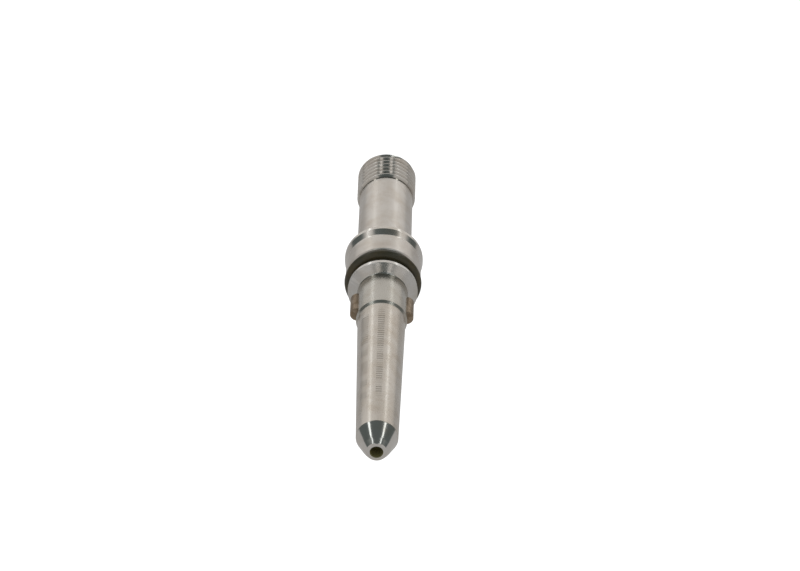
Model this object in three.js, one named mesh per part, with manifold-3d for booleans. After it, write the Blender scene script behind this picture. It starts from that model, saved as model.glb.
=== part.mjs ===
// High-pressure inlet connector of a common-rail diesel injector, in millimetres.
// The connector lies along Y: its threaded inlet end points to +Y and its nose to -Y.
// The origin is on the axis, midway between the two ends. Z is up, and the two keys stand on the X axis.
// A station is a distance from the inlet end face towards the nose, measured along the axis.

import * as THREE from "three";
import { mergeVertices } from "three/addons/utils/BufferGeometryUtils.js";
import Module from "manifold-3d";

const wasm = await Module();
wasm.setup();

// Driving dimensions. Every radius is measured from the connector's axis unless its name says otherwise.

const LENGTH = 115.5;
const SIDES = 48; // facets round every turned surface

const THREAD = {
  pitch: 1.5,
  crestRadius: 6.95,
  rootRadius: 6.14,
  startRadius: 6.85, // where the edge chamfer meets the inlet face
  firstRow: -1.06, // the helix starts ahead of the inlet face, where it is held to the face's rim
  entryStart: 0.1, // the groove sinks into the blank between these stations
  entryEnd: 0.6,
  rows: 31,
  rampStart: 7.8, // the groove climbs out of the blank from here
  rampEnd: 9.4,
  end: 9.8, // foot of the blank's rear chamfer
};
// One pitch of the thread: how far along each corner of its outline lies, and whether it is on the crest.
const THREAD_CORNERS = [
  { along: 0, crest: false },
  { along: 0.31, crest: true },
  { along: 0.44, crest: true },
  { along: 0.75, crest: false },
];

const NECK = { start: 12, rootRadius: 6.35, frontRadius: 6.4 };

const FLANGE = {
  rearFace: 35.87,
  radius: 9.2,
  landEnd: 36.95,
  edge: 0.15,
  rootFillet: 1,
};

const SEAL_LAND = { start: 39.05, end: 45.1, radius: 8.8, edge: 0.25 };

const GLAND = { floorRadius: 6.5, end: 48.98, corner: 0.25 };

const LIP = { radius: 8.18, coneStart: 50.2, coneRadius: 8.08, edge: 0.14 };

const GUIDE = { coneEnd: 51.2, coneEndRadius: 6.15, start: 51.4, radius: 5.95, end: 62.6 };

const SHANK = { start: 63.3, startRadius: 5.58, end: 109.9, endRadius: 4.8 };

const NOSE = {
  kneeStation: 113.8, // the cone steepens here
  kneeRadius: 3.23,
  coneEnd: 115.36,
  coneEndRadius: 2.38,
  faceRadius: 2.2,
};

const OUTLET = { radius: 1.5, depth: 3.6 };

const BORE_RADIUS = 1.3;

const INLET_CONE = { mouthRadius: 5.3, halfAngle: Math.PI / 6 };

const FILTER_BORE = { radius: 2.25, end: 37, tipHalfAngle: (59 * Math.PI) / 180 };

const SEAL = { sectionRadius: 1.25, ringRadius: 7.79, station: 46.4, sides: 16 };

const KEY = { radius: 1.7, axisRadius: 5.7, rearEnd: 54.1, frontEnd: 60.7, sides: 32, chamfer: 0.15 };

const FIT_GAP = 0.05; // between a key or the filter rod and the hole that holds it

const FILTER = {
  radius: 2.2,
  start: 6,
  end: 36,
  flutes: 8,
  fluteRadius: 0.45,
  fluteAxisRadius: 2.25,
  fluteSides: 12,
  plug: 3, // solid length that closes one end of each flute
  chamfer: 0.3,
};

const STEEL = { color: 0xaea79d, roughness: 0.3, metalness: 1 };
const RUBBER = { color: 0x1c1a16, roughness: 0.55, metalness: 0 };
const KEY_STEEL = { color: 0x77624c, roughness: 0.5, metalness: 1 };
const FILTER_STEEL = { color: 0x8d8b87, roughness: 0.4, metalness: 1 };

// Geometry helpers

const clamp01 = (value) => Math.min(1, Math.max(0, value));

// A point at a station, a radius and a share of a full turn.
function place(station, radius, turn) {
  const angle = 2 * Math.PI * turn;
  return [radius * Math.cos(angle), LENGTH / 2 - station, radius * Math.sin(angle)];
}

// Points on an arc in the plane of station and radius, without its first point.
function arc(centreStation, centreRadius, radius, from, to, steps) {
  const points = [];
  for (let i = 1; i <= steps; i++) {
    const angle = from + ((to - from) * i) / steps;
    points.push([centreStation + radius * Math.cos(angle), centreRadius + radius * Math.sin(angle)]);
  }
  return points;
}

// A closed geometry from triangles that share corners by position, less those with two corners in one place.
function closedGeometry(positions, index) {
  const geometry = new THREE.BufferGeometry();
  geometry.setAttribute("position", new THREE.Float32BufferAttribute(positions, 3));
  geometry.setIndex(index);
  const merged = mergeVertices(geometry, 1e-4);
  const corners = merged.index.array;
  const kept = [];
  for (let i = 0; i < corners.length; i += 3) {
    const triangle = [corners[i], corners[i + 1], corners[i + 2]];
    if (new Set(triangle).size === 3) {
      kept.push(...triangle);
    }
  }
  merged.setIndex(kept);
  return merged;
}

function toSolid(geometry) {
  const bare = geometry.clone();
  bare.deleteAttribute("normal");
  bare.deleteAttribute("uv");
  const merged = mergeVertices(bare, 1e-4);
  const triVerts = new Uint32Array(merged.index.array);
  const vertProperties = merged.attributes.position.array;
  return new wasm.Manifold(new wasm.Mesh({ numProp: 3, vertProperties, triVerts }));
}

function toGeometry(solid) {
  const mesh = solid.getMesh();
  const geometry = new THREE.BufferGeometry();
  geometry.setAttribute("position", new THREE.BufferAttribute(mesh.vertProperties, 3));
  geometry.setIndex(new THREE.BufferAttribute(mesh.triVerts, 1));
  return geometry;
}

function cut(geometry, tools) {
  return toGeometry(tools.reduce((solid, tool) => solid.subtract(toSolid(tool)), toSolid(geometry)));
}

// A round bar along the axis between two stations, with chamfered ends, moved sideways by x and z.
function bar(radius, rear, front, chamfer, sides, x = 0, z = 0) {
  const half = (front - rear) / 2;
  const outline = [
    new THREE.Vector2(0, -half),
    new THREE.Vector2(radius - chamfer, -half),
    new THREE.Vector2(radius, -half + chamfer),
    new THREE.Vector2(radius, half - chamfer),
    new THREE.Vector2(radius - chamfer, half),
    new THREE.Vector2(0, half),
  ];
  const geometry = new THREE.LatheGeometry(outline, sides);
  geometry.translate(x, LENGTH / 2 - (rear + front) / 2, z);
  return geometry;
}

function plainBar(radius, rear, front, sides, x = 0, z = 0) {
  const geometry = new THREE.CylinderGeometry(radius, radius, front - rear, sides);
  geometry.translate(x, LENGTH / 2 - (rear + front) / 2, z);
  return geometry;
}

// Thread

// The blank's radius: a lead-in chamfer at the inlet face and a chamfer down to the neck.
function blankRadius(station) {
  const leadIn = THREAD.startRadius + station;
  const runOut = NECK.rootRadius + Math.max(0, THREAD.end - station);
  return Math.min(THREAD.crestRadius, leadIn, runOut);
}

// The groove's floor, which sinks to the thread's root and climbs to the neck where the tool is drawn out.
function grooveRadius(station) {
  const above = clamp01((THREAD.entryEnd - station) / (THREAD.entryEnd - THREAD.entryStart));
  if (above > 0) {
    return THREAD.rootRadius + (THREAD.crestRadius - THREAD.rootRadius) * above;
  }
  const climb = clamp01((station - THREAD.rampStart) / (THREAD.rampEnd - THREAD.rampStart));
  return THREAD.rootRadius + (NECK.rootRadius - THREAD.rootRadius) * climb;
}

// One corner line of the helix: it moves along by a pitch in each turn.
function helixRow(row) {
  const corner = THREAD_CORNERS[row % THREAD_CORNERS.length];
  const turns = Math.floor(row / THREAD_CORNERS.length) + corner.along;
  return (turn) => {
    const station = Math.max(0, THREAD.firstRow + THREAD.pitch * (turns + turn));
    if (station === 0) {
      return [0, THREAD.startRadius];
    }
    const radius = corner.crest ? THREAD.crestRadius : grooveRadius(station);
    return [station, Math.min(radius, blankRadius(station))];
  };
}

// Body

function outerOutline() {
  return [
    [NECK.start, NECK.rootRadius],
    [FLANGE.rearFace - FLANGE.rootFillet, NECK.frontRadius],
    ...arc(
      FLANGE.rearFace - FLANGE.rootFillet,
      NECK.frontRadius + FLANGE.rootFillet,
      FLANGE.rootFillet,
      -Math.PI / 2,
      0,
      4,
    ),
    [FLANGE.rearFace, FLANGE.radius - FLANGE.edge],
    [FLANGE.rearFace + FLANGE.edge, FLANGE.radius],
    [FLANGE.landEnd, FLANGE.radius],
    [SEAL_LAND.start, SEAL_LAND.radius],
    [SEAL_LAND.end - SEAL_LAND.edge, SEAL_LAND.radius],
    [SEAL_LAND.end, SEAL_LAND.radius - SEAL_LAND.edge],
    [SEAL_LAND.end, GLAND.floorRadius + GLAND.corner],
    [SEAL_LAND.end + GLAND.corner, GLAND.floorRadius],
    [GLAND.end - GLAND.corner, GLAND.floorRadius],
    [GLAND.end, GLAND.floorRadius + GLAND.corner],
    [GLAND.end, LIP.radius - LIP.edge],
    [GLAND.end + LIP.edge, LIP.radius],
    [LIP.coneStart - LIP.edge, LIP.radius],
    [LIP.coneStart, LIP.coneRadius],
    [GUIDE.coneEnd, GUIDE.coneEndRadius],
    [GUIDE.start, GUIDE.radius],
    [GUIDE.end, GUIDE.radius],
    [SHANK.start, SHANK.startRadius],
    [SHANK.end, SHANK.endRadius],
    [NOSE.kneeStation, NOSE.kneeRadius],
    [NOSE.coneEnd, NOSE.coneEndRadius],
    [LENGTH, NOSE.faceRadius],
  ];
}

function innerOutline() {
  const outletStart = LENGTH - OUTLET.depth;
  const tipLength = (FILTER_BORE.radius - BORE_RADIUS) / Math.tan(FILTER_BORE.tipHalfAngle);
  const coneLength = (INLET_CONE.mouthRadius - FILTER_BORE.radius) / Math.tan(INLET_CONE.halfAngle);
  return [
    [LENGTH, OUTLET.radius],
    [outletStart, OUTLET.radius],
    [outletStart - (OUTLET.radius - BORE_RADIUS), BORE_RADIUS],
    [FILTER_BORE.end + tipLength, BORE_RADIUS],
    [FILTER_BORE.end, FILTER_BORE.radius],
    [coneLength, FILTER_BORE.radius],
    [0, INLET_CONE.mouthRadius],
  ];
}

// Wraps a closed loop of rings into one skin. A ring gives its station and radius at a share of a turn.
// The helix rows lie first, between the inlet face's ring and the neck's, so the skin's seam there is a
// step of one pitch, which a fan of triangles closes at each end of the thread.
function wrapRings(rings, helixCount) {
  const positions = [];
  const index = [];
  const stride = SIDES + 1;
  rings.forEach((ring) => {
    for (let side = 0; side <= SIDES; side++) {
      const turn = side / SIDES;
      positions.push(...place(...ring(turn), turn % 1));
    }
  });
  rings.forEach((_, i) => {
    const here = i * stride;
    const next = ((i + 1) % rings.length) * stride;
    for (let side = 0; side < SIDES; side++) {
      index.push(here + side, here + side + 1, next + side);
      index.push(here + side + 1, next + side + 1, next + side);
    }
  });
  const perPitch = THREAD_CORNERS.length;
  const neck = (helixCount + 1) * stride;
  for (let row = 1; row <= perPitch; row++) {
    index.push(0, row * stride, (row + 1) * stride);
    const corner = (helixCount - perPitch + row) * stride + SIDES;
    index.push(neck, corner, corner - stride);
  }
  return closedGeometry(positions, index);
}

function bodyGeometry() {
  const fixed = ([station, radius]) => () => [station, radius];
  const helix = Array.from({ length: THREAD.rows }, (_, row) => helixRow(row));
  const rings = [
    fixed([0, THREAD.startRadius]),
    ...helix,
    ...outerOutline().map(fixed),
    ...innerOutline().map(fixed),
  ];
  const pockets = [-1, 1].map((side) =>
    plainBar(
      KEY.radius + FIT_GAP,
      KEY.rearEnd - FIT_GAP,
      KEY.frontEnd + FIT_GAP,
      KEY.sides,
      side * KEY.axisRadius,
    ),
  );
  return cut(wrapRings(rings, THREAD.rows), pockets);
}

// Pieces on and in the body

function sealGeometry() {
  const section = [];
  for (let i = 0; i <= SEAL.sides; i++) {
    const angle = (2 * Math.PI * (i % SEAL.sides)) / SEAL.sides;
    const radius = SEAL.ringRadius + SEAL.sectionRadius * Math.cos(angle);
    section.push(new THREE.Vector2(radius, SEAL.sectionRadius * Math.sin(angle)));
  }
  const geometry = new THREE.LatheGeometry(section, SIDES);
  geometry.translate(0, LENGTH / 2 - SEAL.station, 0);
  return geometry;
}

function keyGeometry(side) {
  return bar(KEY.radius, KEY.rearEnd, KEY.frontEnd, KEY.chamfer, KEY.sides, side * KEY.axisRadius);
}

// A rod whose flutes open by turns at the inlet end and at the outlet end.
function filterGeometry() {
  const overrun = 1;
  const flutes = Array.from({ length: FILTER.flutes }, (_, i) => {
    const angle = (2 * Math.PI * i) / FILTER.flutes;
    const opensAtInlet = i % 2 === 0;
    return plainBar(
      FILTER.fluteRadius,
      opensAtInlet ? FILTER.start - overrun : FILTER.start + FILTER.plug,
      opensAtInlet ? FILTER.end - FILTER.plug : FILTER.end + overrun,
      FILTER.fluteSides,
      FILTER.fluteAxisRadius * Math.cos(angle),
      FILTER.fluteAxisRadius * Math.sin(angle),
    );
  });
  return cut(bar(FILTER.radius, FILTER.start, FILTER.end, FILTER.chamfer, SIDES), flutes);
}

function piece(name, geometry, finish) {
  const mesh = new THREE.Mesh(geometry, new THREE.MeshStandardMaterial(finish));
  mesh.name = name;
  return mesh;
}

const connector = new THREE.Group();
connector.add(
  piece("connector_body", bodyGeometry(), STEEL),
  piece("o_ring", sealGeometry(), RUBBER),
  piece("locating_key_left", keyGeometry(-1), KEY_STEEL),
  piece("locating_key_right", keyGeometry(1), KEY_STEEL),
  piece("edge_filter_rod", filterGeometry(), FILTER_STEEL),
);

export default connector;
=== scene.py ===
"""Looks for the injector's high-pressure inlet connector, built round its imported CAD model.

The connector lies along Y with its threaded inlet end at +Y. A station is a distance in metres from the
inlet end face towards the nose, and an outline is a list of (station, radius) points.
"""

import math

import bmesh
import bpy
from mathutils import Matrix, Vector


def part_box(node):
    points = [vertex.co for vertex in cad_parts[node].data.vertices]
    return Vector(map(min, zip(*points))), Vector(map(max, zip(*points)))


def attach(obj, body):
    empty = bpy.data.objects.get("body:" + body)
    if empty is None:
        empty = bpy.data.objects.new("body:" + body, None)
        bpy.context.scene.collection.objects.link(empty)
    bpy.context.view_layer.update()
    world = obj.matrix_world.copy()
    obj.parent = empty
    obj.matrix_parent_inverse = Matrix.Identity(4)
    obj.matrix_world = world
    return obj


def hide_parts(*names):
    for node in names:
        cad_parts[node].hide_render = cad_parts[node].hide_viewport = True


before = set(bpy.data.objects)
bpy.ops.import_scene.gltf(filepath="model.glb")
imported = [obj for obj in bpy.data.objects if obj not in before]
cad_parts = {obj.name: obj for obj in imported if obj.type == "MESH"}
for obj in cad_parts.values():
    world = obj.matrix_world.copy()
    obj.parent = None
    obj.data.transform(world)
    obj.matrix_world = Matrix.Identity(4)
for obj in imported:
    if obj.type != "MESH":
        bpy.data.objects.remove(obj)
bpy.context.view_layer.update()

MM = 0.001
BODY_LOW, BODY_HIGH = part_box("connector_body")
SEAL_LOW, SEAL_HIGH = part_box("o_ring")
FILTER_LOW, FILTER_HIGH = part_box("edge_filter_rod")
INLET_Y = BODY_HIGH.y
LENGTH = BODY_HIGH.y - BODY_LOW.y
FLANGE_RADIUS = BODY_HIGH.z

SIDES = 256
ARC_STEP = math.radians(15)
SUPPORT = 0.03 * MM  # extra rings this close to each arc keep the long faces' shading flat
FILLET_SHARE = 0.48  # the most of an outline's edge that the fillet at one of its ends may take
SUPPORT_SHARE = 0.2  # the most of a fillet's reach that lies between it and its support point
MERGE_DISTANCE = 1e-7
DEGENERATE_LENGTH = 1e-8
SHARP_DEGREES = 35
SAME_SHARE = 1e-6  # shares of a pitch closer than this are the same row

# Thread
PITCH = 1.5 * MM
CREST_RADIUS = 6.95 * MM
ROOT_RADIUS = 6.14 * MM
THREAD_START_RADIUS = 6.85 * MM
THREAD_FIRST_ROW = -1.06 * MM
THREAD_TURNS = 7
CREST_CORNER = 0.05 * MM
ROOT_CORNER = 0.12 * MM
# Where one pitch's profile climbs to the crest, leaves it and is back at the root, in shares of a pitch
CREST_START, CREST_END, FLANK_END = 0.31, 0.44, 0.75
HALF_PITCH = 0.5
GROOVE_ENTRY = (0.1 * MM, 0.6 * MM)
GROOVE_RAMP = (7.8 * MM, 9.4 * MM)
THREAD_END = 9.8 * MM

# Turned steps from the neck to the nose
NECK_START = 12 * MM
NECK_RADIUS = 6.35 * MM
NECK_FRONT_RADIUS = 6.4 * MM
FLANGE_REAR = 35.87 * MM
FLANGE_LAND_END = 36.95 * MM
SEAL_LAND_START = 39.05 * MM
SEAL_LAND_END = 45.1 * MM
SEAL_LAND_CHAMFER = 0.25 * MM
SEAL_LAND_RADIUS = 8.8 * MM
GLAND_FLOOR = 6.5 * MM
GLAND_END = 48.98 * MM
LIP_RADIUS = 8.18 * MM
LIP_FRONT = 50.14 * MM
GUIDE_START = 51.3 * MM
GUIDE_RADIUS = 5.95 * MM
GUIDE_END = 62.6 * MM
SHANK_START = 63.3 * MM
SHANK_RADII = (5.58 * MM, 4.8 * MM)
SHANK_END = 109.9 * MM
NOSE_KNEE = (113.8 * MM, 3.23 * MM)
NOSE_RADIUS = 2.3 * MM

# Bore and inlet seat
OUTLET_RADIUS = 1.5 * MM
OUTLET_DEPTH = 3.6 * MM
OUTLET_TAPER = 0.2 * MM
BORE_RADIUS = 1.3 * MM
FILTER_BORE_RADIUS = 2.25 * MM
FILTER_BORE_END = 37 * MM
FILTER_BORE_TIP = 37.57 * MM
SEAT_MOUTH_RADIUS = 5.3 * MM
SEAT_DEPTH = 5.28 * MM

# Keys, seal and filter
KEY_GAP = 0.05 * MM
KEY_SIDES = 96
KEY_REAR_FILLET = 0.15 * MM
KEY_FRONT_FILLET = 0.22 * MM
SEAL_STEPS = 56
SEAL_FLASH = 0.02 * MM
SEAL_FLASH_WIDTH = 0.06  # radians round the section
FILTER_SIDES = 192
FILTER_RINGS = 90
FILTER_EDGE = 0.3 * MM
FILTER_SHARP_DEGREES = 40
FLUTE_COUNT = 8
FLUTE_CUTTER = 0.45 * MM
FLUTE_AXIS_RADIUS = 2.25 * MM
FLUTE_PLUG = 3 * MM
FLUTE_RUN_OUT = 0.5 * MM


def station_of(y):
    return INLET_Y - y


# Mesh building


def rounded(points):
    """The outline with an arc at each corner: a point is (station, radius, fillet radius)."""
    outline = []
    count = len(points)
    for i, (s, r, fillet) in enumerate(points):
        here = Vector((s, r))
        before = Vector(points[i - 1][:2]) - here if i else Vector((0, 0))
        after = Vector(points[(i + 1) % count][:2]) - here if i < count - 1 else Vector((0, 0))
        if fillet == 0 or before.length == 0 or after.length == 0:
            outline.append(here)
            continue
        outline += corner_arc(here, before, after, fillet)
    return outline


def corner_arc(corner, before, after, fillet):
    """A fillet's points from one side of the corner to the other, with a support point past each end."""
    a, b = before.normalized(), after.normalized()
    half = a.angle(b) / 2
    limit = FILLET_SHARE * min(before.length, after.length)
    reach = min(fillet / math.tan(half), limit)
    radius = reach * math.tan(half)
    centre = corner + (a + b).normalized() * (radius / math.sin(half))
    start, end = corner + a * reach, corner + b * reach
    support = reach + min(SUPPORT, SUPPORT_SHARE * reach)
    turn = math.pi - 2 * half
    steps = max(2, round(turn / ARC_STEP))
    first, last = start - centre, end - centre
    points = [corner + a * support]
    for k in range(steps + 1):
        share = k / steps
        mix = first * math.sin((1 - share) * turn) + last * math.sin(share * turn)
        points.append(centre + mix / math.sin(turn))
    points.append(corner + b * support)
    return points


def new_object(name, vertices, faces):
    mesh = bpy.data.meshes.new(name)
    mesh.from_pydata(vertices, [], faces)
    obj = bpy.data.objects.new(name, mesh)
    bpy.context.scene.collection.objects.link(obj)
    return obj


def round_axis(station, radius, turn):
    """The place at a station and a radius, a share of a turn round the axis."""
    angle = 2 * math.pi * turn
    return (radius * math.cos(angle), INLET_Y - station, radius * math.sin(angle))


def finish_mesh(obj, sharp_degrees=SHARP_DEGREES):
    """Merges doubled points, turns the faces outwards and shades them smooth up to an angle."""
    bm = bmesh.new()
    bm.from_mesh(obj.data)
    bmesh.ops.remove_doubles(bm, verts=bm.verts, dist=MERGE_DISTANCE)
    bmesh.ops.dissolve_degenerate(bm, dist=DEGENERATE_LENGTH, edges=bm.edges)
    bmesh.ops.recalc_face_normals(bm, faces=bm.faces)
    limit = math.radians(sharp_degrees)
    for face in bm.faces:
        face.smooth = True
    for edge in bm.edges:
        edge.smooth = len(edge.link_faces) != 2 or edge.calc_face_angle() < limit
    bm.to_mesh(obj.data)
    bm.free()


def revolve(name, outline, sides, x=0.0):
    """A closed skin of revolution. Ends that lie on the axis close themselves."""
    vertices = []
    faces = []
    for s, r in outline:
        for side in range(sides):
            px, py, pz = round_axis(s, r, side / sides)
            vertices.append((px + x, py, pz))
    for i in range(len(outline)):
        here, ahead = i * sides, (i + 1) % len(outline) * sides
        for side in range(sides):
            other = (side + 1) % sides
            faces.append((here + side, here + other, ahead + other, ahead + side))
    obj = new_object(name, vertices, faces)
    finish_mesh(obj)
    return obj


# Body


def blank_radius(station):
    """The radius of the turned blank, which the thread can't pass: a lead-in, the crest and a run-out."""
    lead_in = THREAD_START_RADIUS + station
    run_out = NECK_RADIUS + max(0.0, THREAD_END - station)
    return min(CREST_RADIUS, lead_in, run_out)


def groove_radius(station, depth):
    """The thread's radius at a depth below the crest, which fades at both ends of the groove."""
    low, high = GROOVE_RAMP
    climb = min(1.0, max(0.0, (station - low) / (high - low)))
    floor = ROOT_RADIUS + (NECK_RADIUS - ROOT_RADIUS) * climb
    shallow, full = GROOVE_ENTRY
    above = min(1.0, max(0.0, (full - station) / (full - shallow)))
    floor += (CREST_RADIUS - floor) * above
    return max(floor, CREST_RADIUS - depth)


def thread_rows():
    """One pitch of thread as (share of a pitch, depth below the crest), with its corners rounded."""
    depth = CREST_RADIUS - ROOT_RADIUS
    corners = [
        (FLANK_END - 1, depth, 0),
        (0, depth, ROOT_CORNER),
        (CREST_START, 0, CREST_CORNER),
        (CREST_END, 0, CREST_CORNER),
        (FLANK_END, depth, ROOT_CORNER),
        (1, depth, 0),
    ]
    outline = rounded([(share * PITCH, d, fillet) for share, d, fillet in corners])
    return [(s / PITCH, d) for s, d in outline if 0 <= s / PITCH < 1 - SAME_SHARE]


def helix_ring(turns, depth):
    """One ring of the thread, as a function from the share of a turn to (station, radius)."""

    def ring(turn):
        station = max(0.0, THREAD_FIRST_ROW + PITCH * (turns + turn))
        if station == 0:
            return 0.0, THREAD_START_RADIUS
        return station, min(groove_radius(station, depth), blank_radius(station))

    return ring


def body_outline():
    """From the thread's run-out along the outside to the nose, and back through the bore to the seat."""
    shank_start, shank_end = SHANK_RADII
    return rounded(
        [
            (NECK_START, NECK_RADIUS, 0),
            (FLANGE_REAR, NECK_FRONT_RADIUS, 1.0 * MM),
            (FLANGE_REAR, FLANGE_RADIUS, 0.16 * MM),
            (FLANGE_LAND_END, FLANGE_RADIUS, 0.1 * MM),
            (SEAL_LAND_START, SEAL_LAND_RADIUS, 2.2 * MM),
            (SEAL_LAND_END - SEAL_LAND_CHAMFER, SEAL_LAND_RADIUS, 0.08 * MM),
            (SEAL_LAND_END, SEAL_LAND_RADIUS - SEAL_LAND_CHAMFER, 0.05 * MM),
            (SEAL_LAND_END, GLAND_FLOOR, 0.3 * MM),
            (GLAND_END, GLAND_FLOOR, 0.3 * MM),
            (GLAND_END, LIP_RADIUS, 0.16 * MM),
            (LIP_FRONT, LIP_RADIUS, 0.14 * MM),
            (GUIDE_START, GUIDE_RADIUS, 0.4 * MM),
            (GUIDE_END, GUIDE_RADIUS, 0.12 * MM),
            (SHANK_START, shank_start, 0.1 * MM),
            (SHANK_END, shank_end, 0.12 * MM),
            (*NOSE_KNEE, 6.0 * MM),
            (LENGTH, NOSE_RADIUS, 0.25 * MM),
            (LENGTH, OUTLET_RADIUS, 0.1 * MM),
            (LENGTH - OUTLET_DEPTH, OUTLET_RADIUS, 0.05 * MM),
            (LENGTH - OUTLET_DEPTH - OUTLET_TAPER, BORE_RADIUS, 0.05 * MM),
            (FILTER_BORE_TIP, BORE_RADIUS, 0.1 * MM),
            (FILTER_BORE_END, FILTER_BORE_RADIUS, 0.1 * MM),
            (SEAT_DEPTH, FILTER_BORE_RADIUS, 0.1 * MM),
            (0, SEAT_MOUTH_RADIUS, 0.08 * MM),
            (0, THREAD_START_RADIUS, 0),
        ]
    )


def threaded_skin(name):
    """The whole body as one closed skin: helix rows for the thread, plain rings for the rest."""
    pitch_rows = thread_rows()
    helix = [helix_ring(turn + share, d) for turn in range(THREAD_TURNS) for share, d in pitch_rows]
    helix += [helix_ring(THREAD_TURNS + share, d) for share, d in pitch_rows if share < HALF_PITCH]
    outline = body_outline()
    rings = [lambda turn: (0.0, THREAD_START_RADIUS), *helix]
    rings += [lambda turn, point=point: tuple(point) for point in outline[:-1]]
    stride = SIDES + 1
    vertices = [
        round_axis(*ring(side / SIDES), side / SIDES % 1) for ring in rings for side in range(stride)
    ]
    faces = []
    for i in range(len(rings)):
        here, ahead = i * stride, (i + 1) % len(rings) * stride
        for side in range(SIDES):
            faces.append((here + side, here + side + 1, ahead + side + 1, ahead + side))
    # The helix ends one pitch further on than it starts, so a fan of triangles fills the seam at each end.
    per_pitch = len(pitch_rows)
    neck = (len(helix) + 1) * stride
    for row in range(1, per_pitch + 1):
        faces.append((0, row * stride, (row + 1) * stride))
        corner = (len(helix) - per_pitch + row) * stride + SIDES
        faces.append((neck, corner, corner - stride))
    return new_object(name, vertices, faces)


def cut_pocket(body, node):
    """Cuts the round pocket that holds a key, a little wider than the key."""
    low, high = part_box(node)
    radius = (high.x - low.x) / 2 + KEY_GAP
    rear, front = station_of(high.y) - KEY_GAP, station_of(low.y) + KEY_GAP
    outline = [(rear, 0), (rear, radius), (front, radius), (front, 0)]
    tool = revolve("pocket_tool", outline, KEY_SIDES, (low.x + high.x) / 2)
    modifier = body.modifiers.new("pocket", "BOOLEAN")
    modifier.operation = "DIFFERENCE"
    modifier.solver = "EXACT"
    modifier.object = tool
    bpy.context.view_layer.objects.active = body
    bpy.ops.object.modifier_apply(modifier=modifier.name)
    bpy.data.objects.remove(tool)


def make_body():
    """The threaded skin is cleaned before the pockets are cut, since the cut needs a closed mesh."""
    body = threaded_skin("connector_body_fine")
    finish_mesh(body)
    for node in ("locating_key_left", "locating_key_right"):
        cut_pocket(body, node)
    finish_mesh(body)
    return body


# Seal, keys and filter


def make_seal():
    """A round section with a thin moulding seam along its outer and inner rim."""
    section = (SEAL_HIGH.y - SEAL_LOW.y) / 2
    ring = SEAL_HIGH.z - section
    middle = station_of((SEAL_HIGH.y + SEAL_LOW.y) / 2)
    outline = []
    for k in range(SEAL_STEPS):
        angle = 2 * math.pi * k / SEAL_STEPS
        seam = math.exp(-((math.sin(angle) / SEAL_FLASH_WIDTH) ** 2))
        reach = section - SEAL_FLASH + SEAL_FLASH * seam
        outline.append((middle + reach * math.sin(angle), ring + reach * math.cos(angle)))
    return revolve("o_ring_fine", outline, SIDES)


def make_key(node):
    """A round pin with rounded ends, in the place of the CAD's key."""
    low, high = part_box(node)
    radius = (high.x - low.x) / 2
    rear, front = station_of(high.y), station_of(low.y)
    corners = [
        (rear, 0, 0),
        (rear, radius, KEY_REAR_FILLET),
        (front, radius, KEY_FRONT_FILLET),
        (front, 0, 0),
    ]
    return revolve(node + "_fine", rounded(corners), KEY_SIDES, (low.x + high.x) / 2)


def flute_depth(angle, station, start, end):
    """How far a flute is cut below the rod's surface at an angle and a station."""
    step = 2 * math.pi / FLUTE_COUNT
    index = round(angle / step)
    offset = angle - index * step
    across = FLUTE_AXIS_RADIUS * math.sin(offset)
    if abs(across) >= FLUTE_CUTTER:
        return 0.0
    floor = FLUTE_AXIS_RADIUS * math.cos(offset) - math.sqrt(FLUTE_CUTTER**2 - across**2)
    depth = max(0.0, (FILTER_HIGH.z - FILTER_LOW.z) / 2 - floor)
    from_closed_end = end - station if index % 2 == 0 else station - start
    return depth * min(1.0, max(0.0, (from_closed_end - FLUTE_PLUG) / FLUTE_RUN_OUT))


def filter_outline(start, end, radius):
    edge = FILTER_EDGE
    outline = [(start, 0.0), (start, 0.5 * radius), (start, radius - edge), (start + edge, radius)]
    for k in range(1, FILTER_RINGS):
        outline.append((start + edge + (end - start - 2 * edge) * k / FILTER_RINGS, radius))
    outline += [(end - edge, radius), (end, radius - edge), (end, 0.5 * radius), (end, 0.0)]
    return outline


def make_filter():
    """A rod whose flutes are closed at the front and the rear end by turns."""
    radius = (FILTER_HIGH.z - FILTER_LOW.z) / 2
    start, end = station_of(FILTER_HIGH.y), station_of(FILTER_LOW.y)
    obj = revolve("edge_filter_rod_fine", filter_outline(start, end, radius), FILTER_SIDES)
    for vertex in obj.data.vertices:
        reach = math.hypot(vertex.co.x, vertex.co.z)
        angle = math.atan2(vertex.co.z, vertex.co.x) % (2 * math.pi)
        depth = flute_depth(angle, station_of(vertex.co.y), start, end)
        wanted = min(reach, radius - depth)
        if reach > 0:
            vertex.co.x *= wanted / reach
            vertex.co.z *= wanted / reach
    finish_mesh(obj, FILTER_SHARP_DEGREES)
    return obj


# Materials


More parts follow.
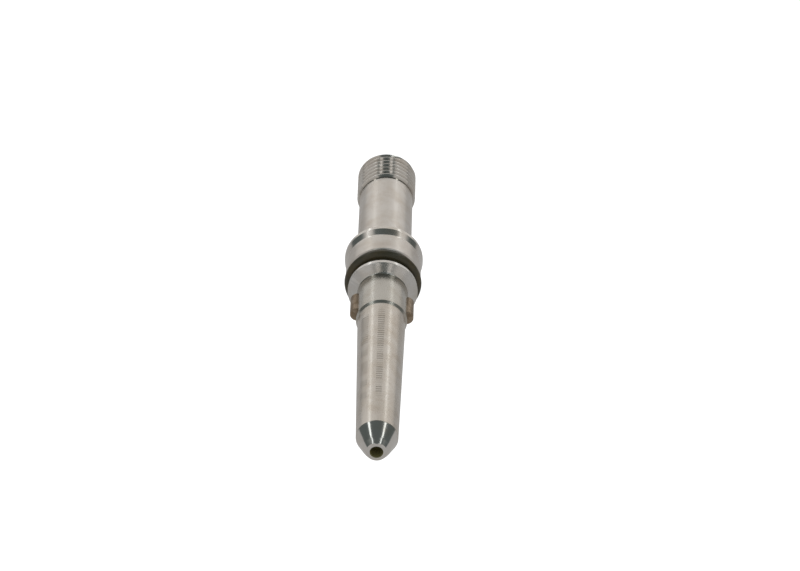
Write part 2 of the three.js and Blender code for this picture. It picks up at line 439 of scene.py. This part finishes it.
class Nodes:
    """Short calls for building the node tree of one material, or of the world."""

    def __init__(self, owner):
        owner.use_nodes = True
        self.owner = owner
        self.tree = owner.node_tree
        self.shader = self.tree.nodes.get("Principled BSDF")

    def add(self, kind, **settings):
        node = self.tree.nodes.new(kind)
        for key, value in settings.items():
            setattr(node, key, value)
        return node

    def link(self, output, socket):
        self.tree.links.new(output, socket)

    def feed(self, socket, value):
        if isinstance(value, bpy.types.NodeSocket):
            self.link(value, socket)
        else:
            socket.default_value = value

    def math(self, operation, a, b=0.0):
        node = self.add("ShaderNodeMath", operation=operation)
        self.feed(node.inputs[0], a)
        self.feed(node.inputs[1], b)
        return node.outputs[0]

    def times(self, a, b):
        return self.math("MULTIPLY", a, b)

    def remap(self, value, low, high, to_low=0.0, to_high=1.0):
        node = self.add("ShaderNodeMapRange", clamp=True)
        for socket, given in zip(node.inputs, (value, low, high, to_low, to_high)):
            self.feed(socket, given)
        return node.outputs[0]

    def mix(self, share, a, b, blend="MIX"):
        node = self.add("ShaderNodeMix", data_type="RGBA", blend_type=blend)
        self.feed(node.inputs[0], share)
        for socket, value in ((node.inputs[6], a), (node.inputs[7], b)):
            self.feed(socket, value if isinstance(value, bpy.types.NodeSocket) else (*value, 1.0))
        return node.outputs[2]

    def combine(self, x, y, z):
        node = self.add("ShaderNodeCombineXYZ")
        for socket, value in zip(node.inputs, (x, y, z)):
            self.feed(socket, value)
        return node.outputs[0]

    def noise(self, vector, scale, detail=4.0, roughness=0.55):
        node = self.add("ShaderNodeTexNoise")
        self.link(vector, node.inputs["Vector"])
        node.inputs["Scale"].default_value = scale
        node.inputs["Detail"].default_value = detail
        node.inputs["Roughness"].default_value = roughness
        return node.outputs[0]

    def place(self):
        """The place in the part's frame, in millimetres, as (x, y, z)."""
        split = self.add("ShaderNodeSeparateXYZ")
        self.link(self.add("ShaderNodeTexCoord").outputs["Object"], split.inputs[0])
        return [self.times(out, 1 / MM) for out in split.outputs]

    def polar(self, x, z):
        """The distance from the axis and the angle from the top."""
        squares = self.math("ADD", self.times(x, x), self.times(z, z))
        return self.math("SQRT", squares), self.math("ARCTAN2", x, z)

    def streaks(self, x, y, z, across, along, scale=1.0, detail=4.0, roughness=0.55):
        """Noise drawn out along the axis, with its own scales across and along it."""
        vector = self.combine(self.times(x, across), self.times(y, along), self.times(z, across))
        return self.noise(vector, scale, detail, roughness)

    def edges(self, low, high):
        """0 on plain faces, up to 0.4 on sharp convex edges: painted highlights on the turned steel, bare
        rubbed edges on the keys.
        """
        return self.remap(self.add("ShaderNodeNewGeometry").outputs["Pointiness"], low, high, 0.0, 0.4)

    def bump(self, height, strength, distance, normal=None):
        node = self.add("ShaderNodeBump")
        node.inputs["Strength"].default_value = strength
        node.inputs["Distance"].default_value = distance
        self.link(height, node.inputs["Height"])
        if normal:
            self.link(normal, node.inputs["Normal"])
        return node.outputs[0]

    def turned_tangent(self, amount):
        """Stretches reflections across the turning marks, which run round Y."""
        tangent = self.add("ShaderNodeTangent", direction_type="RADIAL", axis="Y")
        self.link(tangent.outputs[0], self.shader.inputs["Tangent"])
        self.shader.inputs["Anisotropic"].default_value = amount


# lighter steel: random light rings in the turning marks, and the painted highlight on the body's edges
STEEL_EDGE = (0.76, 0.73, 0.68)
STAIN = (0.88, 0.84, 0.79)  # multiplies the steel's colour where it is stained
# dark brown: painted shade in the thread's grooves, and the colour of the etched marks
SHADE_AND_ETCH_COLOUR = (0.2, 0.165, 0.125)
OIL = (0.3, 0.28, 0.13)
OILY_RADIUS = 1.54 * MM  # everything nearer the axis than this is oily
GROOVE_SHADE_RADII = (5.7 * MM, 6.25 * MM)  # the seat is inside the first, and the painted shade in the grooves is deepest at the second
RUBBER_COLOURS = ((0.05, 0.044, 0.022), (0.09, 0.062, 0.02))
KEY_COLOURS = ((0.37, 0.29, 0.215), (0.27, 0.2, 0.135))
KEY_EDGE = (0.5, 0.42, 0.33)
FILTER_COLOURS = ((0.5, 0.48, 0.45), (0.3, 0.27, 0.23))

# Rows of etched marks, in millimetres and radians from the top: (middle angle, half width, first y, last y,
# pitch, slant along the axis per radian)
ETCHED_ROWS = (
    (-0.05, 0.15, -8.0, -43.5, 0.86, 0.0),
    (-0.82, 0.22, -9.0, -43.5, 0.8, 1.3),
)
MARKS_PER_GROUP = 3.0
MARK_FADE = 0.3  # in millimetres: how softly a row of marks, and the painted shade in the thread, ends

# The body's finish changes from one turned step to the next: (first station, colour, roughness).
FINISHES = (
    (0 * MM, (0.64, 0.61, 0.57), 0.13),
    (THREAD_END - 0.3 * MM, (0.67, 0.63, 0.585), 0.33),
    (FLANGE_REAR - 0.9 * MM, (0.64, 0.61, 0.57), 0.15),
    (SEAL_LAND_START - 0.2 * MM, (0.64, 0.6, 0.555), 0.32),
    (SEAL_LAND_END - 0.4 * MM, (0.62, 0.6, 0.57), 0.18),
    (GUIDE_START, (0.52, 0.495, 0.45), 0.27),
    (SHANK_START, (0.6, 0.555, 0.5), 0.26),
    (SHANK_END, (0.67, 0.64, 0.6), 0.17),
)


def turning_marks(n, y, angle):
    """Fine rings left by the cutting tool: nearly straight round the axis, uneven along it."""
    round_x, round_z = (n.times(n.math(wave, angle), 0.12) for wave in ("SINE", "COSINE"))
    fine = n.noise(n.combine(round_x, n.times(y, 9.0), round_z), 1.0, 3.0)
    coarse = n.noise(n.combine(round_x, n.times(y, 1.3), round_z), 1.0, 2.0)
    return fine, coarse


def finish_ramps(n, y):
    """Colour and roughness from the table of finishes, by station."""
    station = n.math("SUBTRACT", INLET_Y / MM, y)
    share = n.math("DIVIDE", station, LENGTH / MM)
    outputs = []
    starts, colours, roughnesses = zip(*FINISHES)
    for values in (colours, [(value, value, value) for value in roughnesses]):
        ramp = n.add("ShaderNodeValToRGB")
        ramp.color_ramp.interpolation = "CONSTANT"
        elements = ramp.color_ramp.elements
        while len(elements) < len(FINISHES):
            elements.new(1.0)
        for element, start, value in zip(elements, starts, values):
            element.position = start / LENGTH
            element.color = (*value, 1.0)
        n.link(share, ramp.inputs[0])
        outputs.append(ramp.outputs[0])
    return outputs


def etched_ticks(n, y, angle):
    """Two rows of plain tick marks along the shank, in uneven groups. The second row is slanted."""
    rows = []
    for middle, half_width, start, end, pitch, slant in ETCHED_ROWS:
        across = n.math("ABSOLUTE", n.math("SUBTRACT", angle, middle))
        beside = n.remap(across, half_width, half_width * 0.9)
        along = n.times(n.remap(y, start, start - MARK_FADE), n.remap(y, end, end + MARK_FADE))
        steps = n.math("DIVIDE", n.math("ADD", y, n.times(angle, slant)), pitch)
        stroke = n.remap(n.math("PINGPONG", steps, 0.5), 0.2, 0.3)
        group = n.add("ShaderNodeTexWhiteNoise", noise_dimensions="1D")
        n.link(n.math("FLOOR", n.math("DIVIDE", steps, MARKS_PER_GROUP)), group.inputs["W"])
        grouped = n.remap(group.outputs["Value"], 0.15, 0.5, 0.25, 1.0)
        rows.append(n.times(n.times(beside, along), n.times(stroke, grouped)))
    return n.math("MAXIMUM", *rows)


def groove_shade(n, y, radius, stain):
    """How much painted shade darkens the thread's grooves, more towards the root and in patches: 0 on the
    crests and outside the thread.
    """
    thread_end = (INLET_Y - THREAD_END) / MM
    in_thread = n.remap(y, thread_end - MARK_FADE, thread_end)
    seat, deepest = GROOVE_SHADE_RADII
    below_crest = n.remap(radius, THREAD_START_RADIUS / MM, deepest / MM)
    outside = n.math("GREATER_THAN", radius, seat / MM)
    groove = n.times(n.times(in_thread, below_crest), outside)
    return n.times(groove, n.remap(stain, 0.35, 0.6, 0.35, 0.7))


def turned_steel():
    """Bright turned steel with stains, painted shade in the thread's grooves, painted highlights on its
    edges, etched marks and an oily bore.
    """
    n = Nodes(bpy.data.materials.new("turned_steel"))
    x, y, z = n.place()
    radius, angle = n.polar(x, z)
    fine, coarse = turning_marks(n, y, angle)
    stain = n.noise(n.combine(x, y, z), 0.22, 5.0, 0.6)
    scratch = n.streaks(x, y, z, 5.0, 0.25, 1.4, 6.0, 0.7)
    ticks = etched_ticks(n, y, angle)
    inside = n.math("LESS_THAN", radius, OILY_RADIUS / MM)

    steel, finish = finish_ramps(n, y)
    colour = n.mix(n.remap(stain, 0.42, 0.68), steel, STAIN, "MULTIPLY")
    colour = n.mix(n.remap(fine, 0.5, 0.8, 0.0, 0.12), colour, STEEL_EDGE)
    # painted shade: the thread's grooves darkened towards the root, in patches
    colour = n.mix(groove_shade(n, y, radius, stain), colour, SHADE_AND_ETCH_COLOUR)
    colour = n.mix(inside, colour, OIL)
    # painted highlight: the body's convex edges lightened
    colour = n.mix(n.edges(0.51, 0.56), colour, STEEL_EDGE)
    colour = n.mix(n.times(ticks, 0.38), colour, SHADE_AND_ETCH_COLOUR)
    n.link(colour, n.shader.inputs["Base Color"])
    n.link(n.remap(inside, 0.0, 1.0, 1.0, 0.0), n.shader.inputs["Metallic"])

    rough = n.math("ADD", finish, n.remap(stain, 0.3, 0.7, -0.03, 0.03))
    rough = n.math("ADD", rough, n.remap(scratch, 0.55, 0.8, 0.0, 0.06))
    rough = n.math("ADD", rough, n.times(ticks, 0.15))
    n.link(rough, n.shader.inputs["Roughness"])
    n.turned_tangent(0.2)

    normal = n.bump(fine, 0.25, 0.004 * MM)
    normal = n.bump(coarse, 0.2, 0.01 * MM, normal)
    normal = n.bump(scratch, 0.12, 0.004 * MM, normal)
    normal = n.bump(ticks, 0.5, -0.008 * MM, normal)
    n.link(normal, n.shader.inputs["Normal"])
    return n.owner


def seal_rubber():
    """Dark olive rubber, a little greasy."""
    n = Nodes(bpy.data.materials.new("seal_rubber"))
    place = n.add("ShaderNodeTexCoord").outputs["Object"]
    grain = n.noise(place, 9000.0, 3.0)
    smear = n.noise(place, 260.0, 5.0, 0.6)
    n.link(n.mix(n.remap(smear, 0.4, 0.7), *RUBBER_COLOURS), n.shader.inputs["Base Color"])
    n.link(n.remap(smear, 0.3, 0.75, 0.36, 0.52), n.shader.inputs["Roughness"])
    normal = n.bump(grain, 0.25, 0.01 * MM)
    n.link(n.bump(smear, 0.2, 0.03 * MM, normal), n.shader.inputs["Normal"])
    return n.owner


def key_steel():
    """Browned steel, drawn lengthways, with bare edges."""
    n = Nodes(bpy.data.materials.new("key_steel"))
    x, y, z = n.place()
    mottle = n.noise(n.combine(x, y, z), 0.9, 5.0, 0.6)
    drawn = n.streaks(x, y, z, 6.0, 0.5)
    colour = n.mix(n.remap(mottle, 0.35, 0.65), *KEY_COLOURS)
    n.link(n.mix(n.edges(0.52, 0.58), colour, KEY_EDGE), n.shader.inputs["Base Color"])
    n.link(n.remap(mottle, 0.3, 0.7, 0.38, 0.52), n.shader.inputs["Roughness"])
    n.shader.inputs["Metallic"].default_value = 1.0
    normal = n.bump(drawn, 0.3, 0.01 * MM)
    n.link(n.bump(mottle, 0.3, 0.02 * MM, normal), n.shader.inputs["Normal"])
    return n.owner


def filter_steel():
    """Ground steel, sooty in places."""
    n = Nodes(bpy.data.materials.new("filter_steel"))
    x, y, z = n.place()
    ground = n.streaks(x, y, z, 8.0, 0.6)
    soot = n.noise(n.combine(x, y, z), 0.7, 5.0, 0.6)
    n.link(n.mix(n.remap(soot, 0.4, 0.7), *FILTER_COLOURS), n.shader.inputs["Base Color"])
    n.link(n.remap(soot, 0.3, 0.7, 0.28, 0.42), n.shader.inputs["Roughness"])
    n.shader.inputs["Metallic"].default_value = 1.0
    n.link(n.bump(ground, 0.25, 0.01 * MM), n.shader.inputs["Normal"])
    return n.owner


# Pieces


def dress(piece, node, material):
    """Gives a piece and the CAD node it stands in for the same material, and records the piece."""
    for obj in (piece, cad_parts[node]):
        obj.data.materials.clear()
        obj.data.materials.append(material)
    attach(piece, "root")
    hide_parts(node)


# Camera, floor and light

ROLL = math.radians(4.3)  # the part is turned this far about its own axis, as seen by the camera
VIEW_AZIMUTH = math.radians(1.28)
VIEW_ELEVATION = math.radians(33.37)
VIEW_DISTANCE = 1.1622
AIM = Vector((0.00414, 0.00314, 0.00471))
LENS = 225.0
SENSOR_WIDTH = 36.0
CLIP_START, CLIP_END = 0.1, 20.0

FLOOR_HALF_SIDE = 3.0
FLOOR_GAP = 0.05 * MM
FLOOR_SEEN = 1.2
FLOOR_NEAR, FLOOR_FAR = (0.25, 0.48), (0.9, 0.25)  # what reflections see: (distance, radiance)

BACK_WALL = 0.67
FRONT_WALL = 0.45
CEILING = 0.13
WALL_COLOUR = (1.0, 0.985, 0.965)
CEILING_COLOUR = (0.85, 1.0, 1.0)
STRIP_COLOUR = (0.92, 0.98, 1.0)
# The soft lights on the right: front end, back end, width and radiance. The left has the same.
STRIPS = (
    (Vector((0.1, -0.26, 0.4)), Vector((0.27, -0.04, 0.4)), 0.05, 1.7),
    (Vector((0.285, -0.02, 0.4)), Vector((0.325, 0.18, 0.4)), 0.065, 2.0),
    (Vector((0.348, 0.43, 0.4)), Vector((0.4, 1.0, 0.4)), 0.06, 1.0),
)

TO_PART = Matrix.Rotation(-ROLL, 4, "Y")


def make_camera():
    """A long lens in front of the nose and above it, looking down the connector."""
    data = bpy.data.cameras.new("camera")
    data.lens = LENS
    data.sensor_width = SENSOR_WIDTH
    data.clip_start, data.clip_end = CLIP_START, CLIP_END
    camera = bpy.data.objects.new("camera", data)
    bpy.context.scene.collection.objects.link(camera)
    level = math.cos(VIEW_ELEVATION)
    direction = Vector(
        (math.sin(VIEW_AZIMUTH) * level, -math.cos(VIEW_AZIMUTH) * level, math.sin(VIEW_ELEVATION))
    )
    place = direction * VIEW_DISTANCE
    turn = (AIM - place).to_track_quat("-Z", "Y").to_matrix().to_4x4()
    camera.matrix_world = TO_PART @ Matrix.Translation(place) @ turn
    bpy.context.scene.camera = camera


def floor_material():
    """A floor that glows white to the camera and grey, fading outwards, to reflections."""
    n = Nodes(bpy.data.materials.new("floor"))
    place = n.add("ShaderNodeTexCoord").outputs["Object"]
    length = n.add("ShaderNodeVectorMath", operation="LENGTH")
    n.link(place, length.inputs[0])
    near, near_radiance = FLOOR_NEAR
    far, far_radiance = FLOOR_FAR
    reflected = n.remap(length.outputs["Value"], near, far, near_radiance, far_radiance)
    seen = n.add("ShaderNodeLightPath").outputs["Is Camera Ray"]
    n.shader.inputs["Base Color"].default_value = (0.0, 0.0, 0.0, 1.0)
    n.shader.inputs["Roughness"].default_value = 1.0
    n.shader.inputs["Specular IOR Level"].default_value = 0.0
    n.shader.inputs["Emission Color"].default_value = (1.0, 1.0, 1.0, 1.0)
    n.link(n.remap(seen, 0.0, 1.0, reflected, FLOOR_SEEN), n.shader.inputs["Emission Strength"])
    return n.owner


def make_floor():
    """A flat floor that the collar and the nose rest on, so the threaded end stands off it."""
    collar = Vector((0, INLET_Y - FLANGE_LAND_END, -FLANGE_RADIUS))
    nose = Vector((0, INLET_Y - SHANK_END, -SHANK_RADII[1]))
    along = (collar - nose).normalized()
    up = Vector((1, 0, 0)).cross(along)
    size = FLOOR_HALF_SIDE
    corners = [(-size, -size, 0), (size, -size, 0), (size, size, 0), (-size, size, 0)]
    obj = new_object("floor", corners, [(0, 1, 2, 3)])
    turn = Matrix((Vector((1, 0, 0)), along, up)).transposed().to_4x4()
    obj.matrix_world = TO_PART @ Matrix.Translation((collar + nose) / 2 - up * FLOOR_GAP) @ turn
    obj.data.materials.append(floor_material())


def make_strip(start, end, width, radiance):
    """A long narrow soft light between two places, facing the middle of the part."""
    along = end - start
    middle = (start + end) / 2
    data = bpy.data.lights.new("strip", "AREA")
    data.shape = "RECTANGLE"
    data.size, data.size_y = width, along.length
    data.energy = radiance * math.pi * width * along.length
    data.color = STRIP_COLOUR
    obj = bpy.data.objects.new("strip", data)
    bpy.context.scene.collection.objects.link(obj)
    y_axis = along.normalized()
    z_axis = (middle - y_axis * middle.dot(y_axis)).normalized()
    turn = Matrix((y_axis.cross(z_axis), y_axis, z_axis)).transposed().to_4x4()
    obj.matrix_world = TO_PART @ Matrix.Translation(middle) @ turn


def make_lights():
    """Two broken strips overhead, further apart behind the part than in front of it."""
    for side in (-1, 1):
        for front, back, width, radiance in STRIPS:
            start, end = (Vector((side * place.x, place.y, place.z)) for place in (front, back))
            make_strip(start, end, width, radiance)


def make_world():
    """Walls lit low down behind the part and beside the camera, and dim everywhere else."""
    world = bpy.data.worlds.new("studio")
    bpy.context.scene.world = world
    n = Nodes(world)
    background = n.tree.nodes["Background"]
    split = n.add("ShaderNodeSeparateXYZ")
    n.link(n.add("ShaderNodeTexCoord").outputs["Generated"], split.inputs[0])
    x, y, z = split.outputs
    aside = n.math("ABSOLUTE", x)

    behind = n.times(n.remap(y, 0.15, 0.35), n.remap(aside, 0.7, 0.6))
    behind = n.times(behind, n.remap(z, 0.72, 0.64, 0.0, BACK_WALL))
    ahead = n.times(n.remap(y, 0.1, -0.15), n.remap(aside, 0.26, 0.34))
    ahead = n.times(ahead, n.remap(z, 0.76, 0.64, 0.0, FRONT_WALL))
    gap = n.math("ABSOLUTE", n.math("SUBTRACT", aside, 0.18))
    beside = n.times(n.remap(y, 0.1, -0.15), n.remap(gap, 0.055, 0.035))
    beside = n.times(beside, n.remap(z, 0.55, 0.48, 0.0, 2 * FRONT_WALL))
    light = n.math("ADD", n.math("ADD", behind, ahead), beside)
    n.link(n.math("ADD", light, CEILING), background.inputs["Strength"])
    n.link(n.mix(n.remap(light, 0.0, 0.3), CEILING_COLOUR, WALL_COLOUR), background.inputs["Color"])


def set_colours():
    """Plain colours, with no film look."""
    settings = bpy.context.scene.view_settings
    settings.view_transform = "Standard"
    settings.look = "None"
    settings.exposure = 0.0
    settings.gamma = 1.0


make_camera()
steel, rubber, brown, ground = turned_steel(), seal_rubber(), key_steel(), filter_steel()
dress(make_body(), "connector_body", steel)
dress(make_seal(), "o_ring", rubber)
dress(make_key("locating_key_left"), "locating_key_left", brown)
dress(make_key("locating_key_right"), "locating_key_right", brown)
dress(make_filter(), "edge_filter_rod", ground)
make_floor()
make_lights()
make_world()
set_colours()
